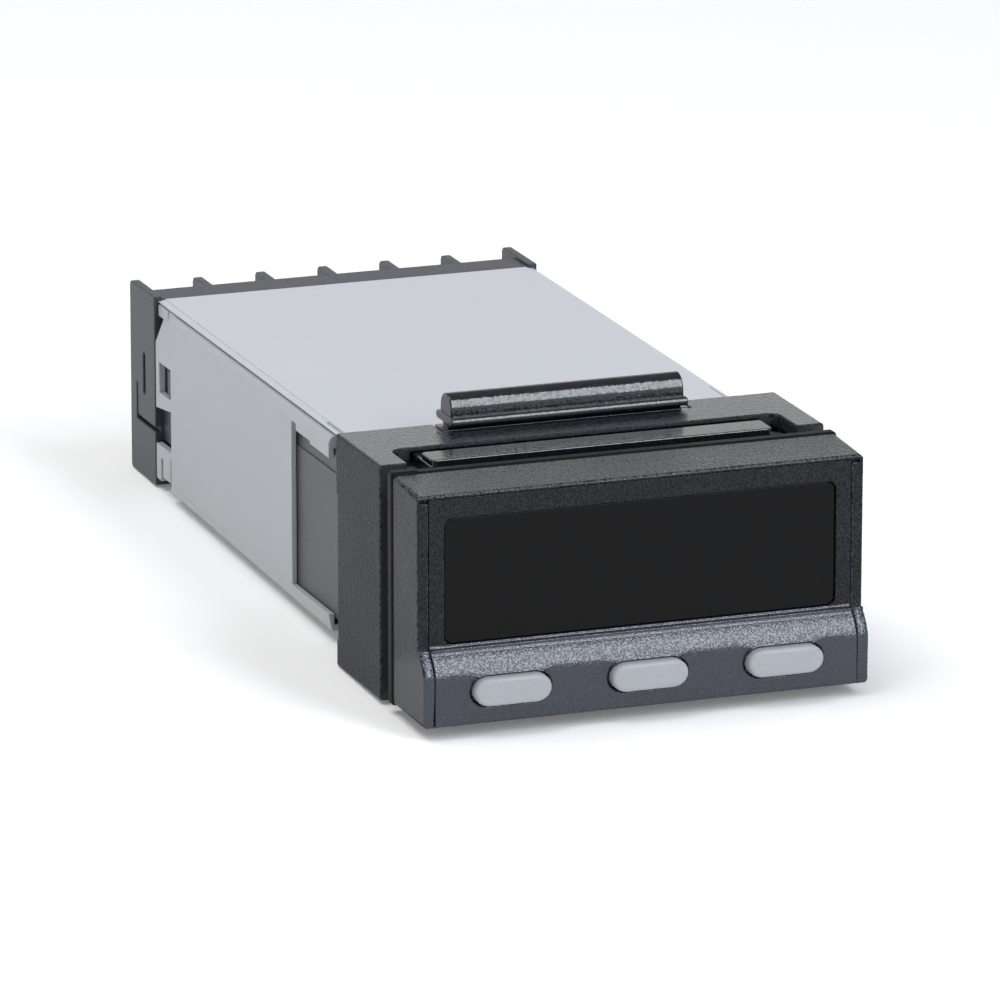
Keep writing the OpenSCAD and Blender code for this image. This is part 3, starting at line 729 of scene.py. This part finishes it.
@dataclass(frozen=True)
class KeyRow:
    """The keys and their openings, drawn a little slimmer than the solids, with rounded lips.

    Lengths are in millimetres.

    Attributes:
        middles: Places of the keys along the width.
        foot: Height of the keys' lower edges, which stay where they are.
        window: Half width of the zone of an opening, and its lowest and highest point.
        back: Depth behind which nothing changes.
        narrow: Share of the width that is kept.
        slim: Share of the height that is kept.
        margin: Distance from an opening's zone to the cuts that keep its change from spreading.
        lip: Width of the rounded lip along the lower part of each opening.
        sharp: Angle in degrees past which an edge becomes a lip.
        rim: Width at each side of the band that is outside the row.
    """

    middles: tuple[float, ...] = (-14.7, 0.0, 14.7)
    foot: float = -10.05
    window: Triple = (4.6, -10.3, -6.3)
    back: float = -7.2
    narrow: float = 0.957
    slim: float = 0.84
    margin: float = 0.3
    lip: float = 0.2
    sharp: float = 60.0
    rim: float = 1.0

    def draw(self, shape: Shape) -> None:
        """Makes a key, or the openings for the keys, slimmer.

        Args:
            shape: A key or the fascia.
        """
        half, low, high = self.window
        for corner in shape.verts:
            across, depth, height = corner.co / MM
            near = min(self.middles, key=lambda middle: abs(across - middle))
            if abs(across - near) > half or depth > self.back or not low < height < high:
                continue
            in_front = abs(depth - SHOULDER.curve(height)) < ON_SURFACE
            height = self.foot + (height - self.foot) * self.slim
            corner.co.x = (near + (across - near) * self.narrow) * MM
            corner.co.z = height * MM
            if in_front:
                corner.co.y = SHOULDER.curve(height) * MM

    def ease(self, shape: Shape) -> None:
        """Shapes the fascia: its shoulder, the slimmer openings and their lips.

        Args:
            shape: The fascia.
        """
        reach = self.window[0] + self.margin
        for middle in self.middles:
            for side in (-1, 1):
                split(shape, (middle + side * reach, 0, 0), (1, 0, 0))
        SHOULDER.ease(shape)
        self.draw(shape)
        sharp = math.radians(self.sharp)
        rims = [edge for edge in shape.edges if all(self.on_face(corner) for corner in edge.verts)]
        lips = [edge for edge in rims if edge.is_convex and edge.calc_face_angle() > sharp]
        bmesh.ops.bevel(
            shape, geom=lips, offset=self.lip * MM, segments=ROUND_STEPS, profile=0.5, affect="EDGES"
        )

    def on_face(self, corner: bmesh.types.BMVert) -> bool:
        """Tells whether a corner lies on the flat face of the band, inside its outer edges."""
        across, depth, height = corner.co / MM
        return (
            abs(across) < SHOULDER.side - self.rim
            and abs(depth - SHOULDER.front) < ON_SURFACE / 2
            and self.window[1] < height < SHOULDER.low + ON_SURFACE / 2
        )


KEY_ROW = KeyRow()


@dataclass
class FrontPanel:
    """The bezel with its fascia, window and keys.

    Attributes:
        flange: Depth of the front of the rear flange in millimetres, behind which shade is painted.
        bezel: Its bezel.
        fascia: Its fascia.
        window: Its window.
        keys: Nodes of its keys.
        key_edge: Width of the keys' rounded edges, in millimetres.
    """

    flange: float = -1.3
    bezel: Moulding = Moulding(
        "front_bezel",
        BEZEL,
        "bezel_plastic",
        0.15,
        plain=(
            Zone((22.4, -9.3, -12.1), (24.1, -8.4, -11.2)),
            Zone((23.2, -7.4, 10.9), (24.1, -6.3, 12.1)),
        ),
        upper=BEZEL_TOP,
        ease=SHOULDER.ease,
    )
    fascia: Moulding = Moulding(
        "front_fascia",
        FASCIA_SHADE,
        "fascia_plastic",
        0.1,
        plain=(Zone((0.0, -9.3, -7.2), (22.0, -5.0, -4.6)),),
        ease=KEY_ROW.ease,
    )
    window: Moulding = Moulding("display_window", LENS, "smoked_lens", 0.12)
    keys: tuple[str, ...] = ("left_button", "middle_button", "right_button")
    key_edge: float = 0.15

    def build(self, nodes: Nodes) -> None:
        """Builds the four kinds of piece.

        Args:
            nodes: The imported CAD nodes.
        """
        bezel = self.bezel.build(nodes)
        # The bezel's flat front faces take the fascia's colour, painted darker as shade on the front
        paint(bezel, FASCIA_SHADE, lambda face: face.normal.y < -FLAT_FRONT)
        paint(bezel, BEZEL_TOP, self.on_top_edge)
        paint(bezel, BAND, self.on_cheek)
        # The rear flange lies in the gap behind the bezel, so it is painted almost black as shade
        paint(bezel, FLANGE_SHADE, lambda face: face.center.y > self.flange * MM)
        paint(self.fascia.build(nodes), BAND, self.on_band)
        self.window.build(nodes)
        for key in self.keys:
            Moulding(key, KEYS, "key_plastic", self.key_edge, key, ease=KEY_ROW.draw).build(nodes)

    def on_band(self, face: Face) -> bool:
        """Tells whether a face of the fascia belongs to the button band."""
        return face.center.z < SHOULDER.sill * MM

    def on_top_edge(self, face: Face) -> bool:
        """Tells whether a face of the bezel is part of its rounded edge between top and front."""
        return face.normal.z > LOOKS_FRONT and -FLAT_FRONT < face.normal.y < -LOOKS_FRONT

    def on_cheek(self, face: Face) -> bool:
        """Tells whether a face of the bezel is the front of a cheek beside the band."""
        return face.center.z < SHOULDER.crease * MM and face.normal.y < -LOOKS_FRONT


@dataclass(frozen=True)
class LidEdge:
    """The lid's long edges, drawn back so that a groove shows beside the case's round rim.

    Lengths are in millimetres.

    Attributes:
        side: Half width of the solid's lid.
        top: Half width at the top of the drawn edge.
        foot: Half width at its foot.
        middle: Height between the two.
        block: Width, length and height of the block under each rear corner.
        block_at: Place of the block's middle on the right side.
        block_edge: Width of the block's rounded edges.
    """

    side: float = 22.1
    top: float = 21.75
    foot: float = 21.45
    middle: float = 9.9
    block: Triple = (0.9, 3.3, 1.3)
    block_at: Triple = (21.3, 81.3, 9.12)
    block_edge: float = 0.12

    def ease(self, shape: Shape) -> None:
        """Draws the edges back.

        Args:
            shape: The lid.
        """
        for corner in shape.verts:
            across, _, height = corner.co / MM
            if abs(abs(across) - self.side) < ON_LINE:
                half = self.top if height > self.middle else self.foot
                corner.co.x = math.copysign(half * MM, across)

    def corners(self) -> None:
        """Builds the two blocks that close the lid's rear corners."""
        shape = bmesh.new()
        for side in (1, -1):
            made = bmesh.ops.create_cube(shape, size=MM)["verts"]
            across, depth, height = self.block_at
            bmesh.ops.scale(shape, vec=self.block, verts=made)
            bmesh.ops.translate(shape, vec=Vector((side * across, depth, height)) * MM, verts=made)
        round_edges(shape, self.block_edge)
        piece = shaped("lid_corner_blocks", shape)
        smooth(piece)
        # The blocks take the case's colour, painted darker than the lid as shade
        dress(piece, CASE_SHADE, "case_plastic", "housing")


LID_EDGE = LidEdge()


@dataclass
class Housing:
    """What stands behind the panel: seal, sleeve, case and lid.

    Attributes:
        parts: Its mouldings.
    """

    parts: tuple[Moulding, ...] = (
        Moulding("panel_seal", RUBBER, "seal_rubber", 0.1),
        Moulding("inner_chassis", SLEEVE, "chassis_plastic", 0.12),
        # The tub takes the case's colour, painted darker than the lid as shade on its walls
        Moulding("case_tub", CASE_SHADE, "case_plastic", 0.1),
        Moulding("top_cover", LID, "case_plastic", 0.08, ease=LID_EDGE.ease),
    )

    def build(self, nodes: Nodes) -> None:
        """Builds the pieces in order.

        Args:
            nodes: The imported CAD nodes.
        """
        for part in self.parts:
            part.build(nodes)
        LID_EDGE.corners()


@dataclass
class PanelFrame:
    """The mounting frame and the clip that locks it.

    Attributes:
        frame: The frame.
        clip: The clip.
    """

    frame: Moulding = Moulding(
        "mounting_frame", COLLAR, "frame_plastic", 0.22, "mounting_frame", upper=COLLAR_TOP
    )
    clip: Moulding = Moulding(
        "locking_clip",
        CLIP,
        "clip_plastic",
        0.16,
        "locking_clip",
        plain=(Zone((0.0, 0.0, 0.0), (30.0, 30.0, 10.8)),),
        upper=CLIP_TOP,
    )

    def build(self, nodes: Nodes) -> None:
        """Builds both pieces.

        Args:
            nodes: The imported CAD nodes.
        """
        paint(self.frame.build(nodes), COLLAR_FACE, lambda face: face.normal.y < -FLAT_FRONT)
        self.clip.build(nodes)


@dataclass
class TerminalRear:
    """The terminal block and its metal, in two rows of poles. Lengths are in millimetres.

    Attributes:
        block: The moulded block.
        strips: The contact strips under the clamp plates.
        poles: Terminals in each row.
        pitch: Distance between terminals.
        row: Height of the upper row above the middle.
        plate: Width, height and thickness of a clamp plate.
        plate_y: Depth of a plate's inner face.
        plate_edge: Width of a plate's rounded edges.
        hole: Radius of a plate's hole.
        head: Radius and height of a screw's head.
        head_edge: Width of the bevel round its seat.
        rim: Height of the straight rim below the head's crown.
        crown_power: One for an elliptic crown, less for a fuller one.
        crown_steps: Steps from the rim to the middle of the crown.
        shank: Radius of a screw's thread, and the depth of its end.
        tip: Share of that radius at the end, and the length of the bevel there.
        cross: Length, width and depth of the cross recess.
        taper: Share of the recess's length and width that is left at its lower end.
        sides: Sides of a round hole, and of a screw.
        turn: Most that a screw's recess is turned either way, in degrees.
        seed: Seed of these turns.
    """

    block: Moulding = Moulding("terminal_block", TERMINAL, "terminal_plastic", 0.14)
    strips: Moulding = Moulding("contact_strips", BRASS, "contact_brass", 0.08)
    poles: int = 6
    pitch: float = 7.2333
    row: float = 5.0
    plate: Triple = (5.033, 5.2, 0.9)
    plate_y: float = 87.4
    plate_edge: float = 0.18
    hole: float = 1.6
    head: Pair = (2.6, 1.9)
    head_edge: float = 0.12
    rim: float = 1.15
    crown_power: float = 0.55
    crown_steps: int = 8
    shank: Pair = (1.5, 82.85)
    tip: Pair = (0.8, 0.3)
    cross: Triple = (3.2, 0.9, 1.1)
    taper: float = 0.55
    sides: tuple[int, int] = (40, 36)
    turn: float = 38.0
    seed: int = 4

    def build(self, nodes: Nodes) -> None:
        """Builds the block, the strips, the plates and the screws.

        Args:
            nodes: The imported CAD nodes.
        """
        self.block.build(nodes)
        self.strips.build(nodes)
        rows = self.rows_tree()
        self.lay_out(self.clamp_plate(), rows, 0.0, "clamp_plates")
        self.lay_out(self.screw(), rows, self.turn, "terminal_screws")

    def clamp_plate(self) -> Piece:
        """Makes one clamp plate, with its hole, about the middle of the width and height.

        Returns:
            The plate.
        """
        wide, tall, thick = (value * MM for value in self.plate)
        shape = bmesh.new()
        bmesh.ops.create_cube(shape, size=1.0)
        bmesh.ops.scale(shape, vec=(wide, thick, tall), verts=shape.verts)
        bmesh.ops.translate(shape, vec=(0, self.plate_y * MM + thick / 2, 0), verts=shape.verts)
        round_edges(shape, self.plate_edge)
        plate = shaped("clamp_plates_metal", shape)
        drill = bmesh.new()
        size = self.hole * MM
        # The drill is long enough to stand out on both sides of the plate
        bmesh.ops.create_cone(
            drill, cap_ends=True, segments=self.sides[0], radius1=size, radius2=size, depth=4 * thick
        )
        lying = Matrix.Rotation(math.pi / 2, 3, "X")
        bmesh.ops.rotate(drill, cent=(0, 0, 0), matrix=lying, verts=drill.verts)
        bmesh.ops.translate(drill, vec=(0, self.plate_y * MM, 0), verts=drill.verts)
        self.cut(plate, [shaped("plate_drill", drill)])
        return plate

    def screw(self) -> Piece:
        """Makes one pan-head screw with a tapered cross recess, pointing along the depth.

        Returns:
            The screw.
        """
        radius, tall = self.head
        seat = self.plate_y + self.plate[2]
        thread, end = self.shank
        share, bevel = self.tip
        outline = [(0.0, end), (thread * share, end), (thread, end + bevel), (thread, seat)]
        outline += [(radius - self.head_edge, seat), (radius, seat + self.head_edge)]
        for step in range(self.crown_steps + 1):
            angle = step * math.pi / (2 * self.crown_steps)
            high = self.rim + (tall - self.rim) * math.sin(angle)
            outline.append((radius * math.cos(angle) ** self.crown_power, seat + high))
        shape = bmesh.new()
        ends = [shape.verts.new((across * MM, depth * MM, 0)) for across, depth in outline]
        lines = [shape.edges.new(pair) for pair in zip(ends, ends[1:])]
        path = {"cent": (0, 0, 0), "axis": (0, 1, 0), "angle": math.tau, "steps": self.sides[1]}
        bmesh.ops.spin(shape, geom=ends + lines, use_merge=True, **path)
        bmesh.ops.remove_doubles(shape, verts=shape.verts, dist=MERGE * MM)
        bmesh.ops.recalc_face_normals(shape, faces=shape.faces)
        screw = shaped("terminal_screws_metal", shape)
        self.cut(screw, [self.recess(quarter) for quarter in (0.0, math.pi / 2)])
        return screw

    def recess(self, turn: float) -> Piece:
        """Makes the cutter for one tapered slot of the cross recess.

        Args:
            turn: Angle of the slot about the screw, in radians.

        Returns:
            The cutter.
        """
        long, wide, deep = self.cross
        top = self.plate_y + self.plate[2] + self.head[1]
        shape = bmesh.new()
        bmesh.ops.create_cube(shape, size=1.0)
        for corner in shape.verts:
            across, depth, height = corner.co
            taper = self.taper if depth < 0 else 1.0
            corner.co = Vector((across * long * taper, depth * 2 * deep, height * wide * taper)) * MM
        bmesh.ops.rotate(shape, cent=(0, 0, 0), matrix=Matrix.Rotation(turn, 3, "Y"), verts=shape.verts)
        bmesh.ops.translate(shape, vec=(0, top * MM, 0), verts=shape.verts)
        return shaped("recess_cutter", shape)

    def cut(self, piece: Piece, cutters: list[Piece]) -> None:
        """Cuts shapes out of a piece and removes the cutters.

        Args:
            piece: The piece that is cut.
            cutters: The shapes to take out.
        """
        for cutter in cutters:
            step = piece.modifiers.new("cut", "BOOLEAN")
            step.operation = "DIFFERENCE"
            step.object = cutter
        settle(piece)
        for cutter in cutters:
            bpy.data.objects.remove(cutter)

    def rows_tree(self) -> Tree:
        """Builds the node tree that repeats one unit over two rows of terminals.

        Returns:
            The tree.
        """
        tree = bpy.data.node_groups.new("terminal_rows", "GeometryNodeTree")
        sockets = {"Unit": "Geometry", "Poles": "Int", "Pitch": "Float", "Row": "Float"}
        sockets |= {"Turn": "Float", "Seed": "Int", "Metal": "Material"}
        for name, kind in sockets.items():
            tree.interface.new_socket(name, in_out="INPUT", socket_type=f"NodeSocket{kind}")
        tree.interface.new_socket("Rows", in_out="OUTPUT", socket_type="NodeSocketGeometry")
        given = add_node(tree, "NodeGroupInput").outputs
        gaps = combine(tree, "SUBTRACT", given["Poles"], 1.0)
        span = combine(tree, "MULTIPLY", gaps, given["Pitch"])
        first = combine(tree, "MULTIPLY", span, -0.5)
        stride = add_node(tree, "ShaderNodeCombineXYZ", {"X": given["Pitch"]})
        joined = add_node(tree, "GeometryNodeJoinGeometry")
        for side in (1.0, -1.0):
            height = combine(tree, "MULTIPLY", given["Row"], side)
            start = add_node(tree, "ShaderNodeCombineXYZ", {"X": first, "Z": height})
            line = add_node(
                tree,
                "GeometryNodeMeshLine",
                {"Count": given["Poles"], "Start Location": start.outputs[0], "Offset": stride.outputs[0]},
                mode="OFFSET",
            )
            tree.links.new(line.outputs[0], joined.inputs[0])
        least = combine(tree, "MULTIPLY", given["Turn"], -1.0)
        limits = {2: least, 3: given["Turn"], 8: given["Seed"]}
        chance = add_node(tree, "FunctionNodeRandomValue", limits, data_type="FLOAT")
        angle = add_node(tree, "ShaderNodeCombineXYZ", {"Y": chance.outputs[1]})
        units = add_node(
            tree,
            "GeometryNodeInstanceOnPoints",
            {"Points": joined.outputs[0], "Instance": given["Unit"], "Rotation": angle.outputs[0]},
        )
        real = add_node(tree, "GeometryNodeRealizeInstances", {0: units.outputs[0]})
        coated = {"Geometry": real.outputs[0], "Material": given["Metal"]}
        metal = add_node(tree, "GeometryNodeSetMaterial", coated)
        add_node(tree, "NodeGroupOutput", {0: metal.outputs[0]})
        return tree

    def lay_out(self, unit: Piece, tree: Tree, turn: float, node: str) -> None:
        """Repeats a unit over both rows and dresses the result.

        Args:
            unit: One plate or screw, which becomes the whole set.
            tree: The tree that repeats it.
            turn: Most that a unit is turned either way, in degrees.
            node: The CAD node that the set stands for.
        """
        values = {
            "Poles": self.poles,
            "Pitch": self.pitch * MM,
            "Row": self.row * MM,
            "Turn": math.radians(turn),
            "Seed": self.seed,
            "Metal": STEEL.material(),
        }
        rows = unit.modifiers.new("rows", "NODES")
        rows.node_group = tree
        for socket in tree.interface.items_tree:
            if socket.name in values:
                rows[socket.identifier] = values[socket.name]
        settle(unit)
        smooth(unit)
        dress(unit, STEEL, "plated_steel", "housing", node)


@dataclass
class Insides:
    """The pieces that keep their CAD shape.

    Attributes:
        finishes: The finish of each node.
    """

    finishes: dict[str, Finish] = field(
        default_factory=lambda: {
            "display_board": LAMINATE,
            "main_board": LAMINATE,
            "power_board": LAMINATE,
            "digit_display": COMPONENT,
            "key_switches": COMPONENT,
            "board_headers": COMPONENT,
            "controller_chip": COMPONENT,
            "power_capacitor": COMPONENT,
            "output_relay": RELAY,
            "transformer": FERRITE,
        }
    )

    def build(self, nodes: Nodes) -> None:
        """Puts the finishes on the CAD nodes themselves.

        Args:
            nodes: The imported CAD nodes.
        """
        for node, finish in self.finishes.items():
            slots = nodes[node].data.materials
            slots.clear()
            slots.append(finish.material())
            LOG.info("%s: finished as %s", node, finish.name)


@dataclass(frozen=True)
class Lamp:
    """A soft lamp whose upright edges are square to the part's width. Lengths are in metres.

    Attributes:
        name: Its name.
        place: Its place.
        aim: The point that it faces.
        size: Its width and height.
        power: Its power in watts.
        colour: Its colour.
    """

    name: str
    place: Triple
    aim: Triple
    size: Pair
    power: float
    colour: str

    def build(self) -> None:
        """Adds the lamp to the scene."""
        data = bpy.data.lights.new(self.name, "AREA")
        data.shape = "RECTANGLE"
        data.size, data.size_y = self.size
        data.energy = self.power
        data.color = linear(self.colour)[:3]
        lamp = bpy.data.objects.new(self.name, data)
        lamp.location = self.place
        back = (Vector(self.place) - Vector(self.aim)).normalized()
        up = back.cross(Vector((-1.0, 0.0, 0.0))).normalized()
        lamp.rotation_euler = Matrix((up.cross(back), up, back)).transposed().to_euler()
        bpy.context.scene.collection.objects.link(lamp)


@dataclass
class Studio:
    """Pale floor, soft lamps and the camera.

    Attributes:
        eye: The camera's place in metres.
        tilt: Angle of the camera from straight down, in degrees.
        turn: Angle of the camera about the vertical, in degrees.
        lens: Focal length in millimetres.
        reach: Half the width of the floor in metres.
        gap: Gap between the part and the floor in millimetres.
        rest_low: Height of the collar's underside in millimetres.
        rest_y: Place of the collar's rear edge in millimetres.
        slope: Rise of the floor for each millimetre of depth, as the part stands on it.
        backdrop: How far up the white backdrop reaches behind the part, for each unit of depth.
        fade: Heights above it between which the light fades.
        room: Light that comes from the dim room above and before the backdrop.
        lift: What is added to the floor where it is seen, so that it is white away from the shadow.
        lamps: Its lamps.
    """

    eye: Triple = (-0.31315, -0.82053, 0.2511)
    tilt: float = 74.48
    turn: float = -20.12
    lens: float = 324.0
    reach: float = 3.0
    gap: float = 0.05
    rest_low: float = -12.6
    rest_y: float = 17.15
    slope: float = 0.0263
    backdrop: float = 0.3
    fade: Pair = (0.08, 0.4)
    room: float = 0.22
    lift: float = 0.12
    lamps: tuple[Lamp, ...] = (
        Lamp("top_softbox", (-0.26, 0.06, 0.9), (0.0, 0.04, 0.0), (0.6, 0.6), 5.3, "#ffffff"),
        Lamp("front_strip", (0.33, -0.68, 0.6), (0.0, 0.0, 0.0), (0.25, 0.95), 5.5, "#f0f5ff"),
    )

    def build(self) -> None:
        """Builds the stage, the light and the camera."""
        self.floor()
        self.light()
        self.camera()

    def floor(self) -> None:
        """Lays a white floor under the two edges that the part stands on."""
        shape = bmesh.new()
        bmesh.ops.create_grid(shape, x_segments=1, y_segments=1, size=self.reach)
        for corner in shape.verts:
            rise = (corner.co.y / MM - self.rest_y) * self.slope
            corner.co.z = (self.rest_low + rise) * MM - self.gap * MM
        piece = shaped("studio_floor", shape)
        material = bpy.data.materials.new("white_studio_floor")
        material.use_nodes = True
        tree = material.node_tree
        shader = tree.nodes["Principled BSDF"]
        white = {
            "Base Color": linear("#f5f5f5"),
            "Roughness": 0.9,
            "Specular IOR Level": 0.0,
            "Emission Color": (1, 1, 1, 1),
        }
        for name, value in white.items():
            shader.inputs[name].default_value = value
        tree.links.new(self.seen(tree), shader.inputs["Emission Strength"])
        piece.data.materials.append(material)

    def seen(self, tree: Tree) -> Socket:
        """Gives the lift for rays that show the background, and zero for rays that carry light.

        Args:
            tree: The tree that takes the nodes.

        Returns:
            The socket with that value.
        """
        path = add_node(tree, "ShaderNodeLightPath").outputs
        direct = combine(tree, "MAXIMUM", path["Is Camera Ray"], path["Is Glossy Ray"])
        shown = combine(tree, "MAXIMUM", direct, path["Is Transmission Ray"])
        return combine(tree, "MULTIPLY", shown, self.lift)

    def light(self) -> None:
        """Sets the surround and the lamps."""
        world = bpy.data.worlds.new("studio_surround")
        bpy.context.scene.world = world
        world.use_nodes = True
        tree = world.node_tree
        place = add_node(tree, "ShaderNodeTexCoord").outputs["Generated"]
        view = add_node(tree, "ShaderNodeSeparateXYZ", {0: place}).outputs
        behind = combine(tree, "MAXIMUM", view["Y"], 0.0)
        height = combine(tree, "MULTIPLY_ADD", behind, -self.backdrop, view["Z"])
        level = ramp(tree, height, self.fade, (1.0, self.room), "SMOOTHSTEP")
        back = tree.nodes["Background"]
        back.inputs["Color"].default_value = (1, 1, 1, 1)
        tree.links.new(level, back.inputs["Strength"])
        for lamp in self.lamps:
            lamp.build()

    def camera(self) -> None:
        """Sets the camera at the photograph's angle."""
        data = bpy.data.cameras.new("studio_camera")
        data.lens = self.lens
        data.sensor_width = 36.0
        data.clip_end = 20.0
        camera = bpy.data.objects.new("studio_camera", data)
        camera.location = self.eye
        camera.rotation_euler = (math.radians(self.tilt), 0.0, math.radians(self.turn))
        bpy.context.scene.collection.objects.link(camera)
        bpy.context.scene.camera = camera


def main() -> None:
    """Builds the dressed controller and its studio."""
    logging.basicConfig(level=logging.INFO, format="%(name)s: %(message)s")
    bpy.context.scene.view_settings.view_transform = "Standard"
    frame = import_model()
    nodes = frame["nodes"]
    Studio().build()
    for group in (FrontPanel(), Housing(), PanelFrame(), TerminalRear(), Insides()):
        group.build(nodes)


if __name__ == "__main__":
    main()
